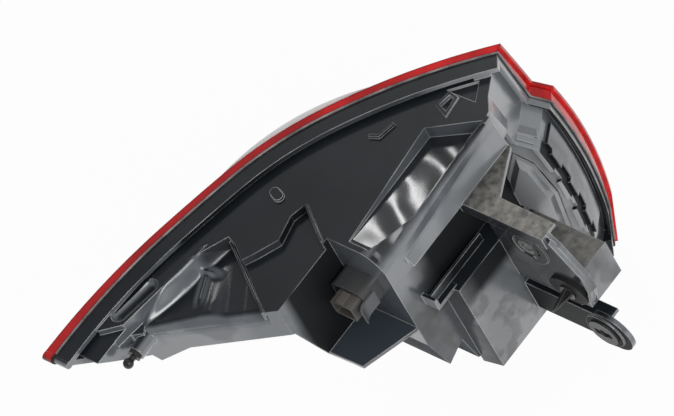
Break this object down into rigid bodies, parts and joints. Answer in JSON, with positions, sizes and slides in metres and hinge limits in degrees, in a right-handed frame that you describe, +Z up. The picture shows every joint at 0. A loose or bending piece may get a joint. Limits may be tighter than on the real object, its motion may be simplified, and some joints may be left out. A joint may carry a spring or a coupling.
{
  "type": "tail light cluster",
  "caption": "Wrap-around rear lamp for one side of a car: red and clear lens on a ribbed dark housing with a connector hood, screw bracket, locating pin and ball stud.",
  "frame": {"origin": "centre of the upper fixing bush at the front face of its boss", "axes": "+X forward to the pointed end, +Y inboard (the back of the lamp), +Z up"},
  "size_m": [0.3838, 0.306, 0.2503],
  "materials": {
    "housing_plastic": "moulded, half gloss",
    "red_lens": "clear red, polished",
    "clear_lens": "clear, polished",
    "sealant": "matt",
    "bezel_plastic": "gloss",
    "metallised": "metallised",
    "circuit_board": "solder mask",
    "led_package": "silicone lens",
    "aluminium": "pressed",
    "zinc_steel": "zinc plated",
    "black_plastic": "moulded",
    "connector_plastic": "moulded",
    "clip_plastic": "moulded",
    "tinned_metal": "tinned",
    "rubber": "matt"
  },
  "bodies": {
    "root": {"housing": "housing_plastic", "outer_lens_red": "red_lens", "outer_lens_clear": "clear_lens", "lens_seal": "sealant", "inner_bezel": "bezel_plastic", "brake_reflector": "metallised", "indicator_reflector": "metallised", "reversing_reflector": "metallised", "tail_light_guide": "clear_lens", "guide_board": "circuit_board", "guide_led": "led_package", "led_board": "circuit_board", "leds": "led_package", "heat_sink": "aluminium", "board_screws": "zinc_steel", "reflex_reflector": "red_lens", "connector_shroud": "black_plastic", "connector_core": "connector_plastic", "connector_terminals": "tinned_metal", "connector_clip": "clip_plastic", "ball_stud": "black_plastic", "locating_pin": "black_plastic", "pin_pad": "rubber", "fixing_bush": "zinc_steel", "lower_grommet": "black_plastic"}
  },
  "joints": []
}
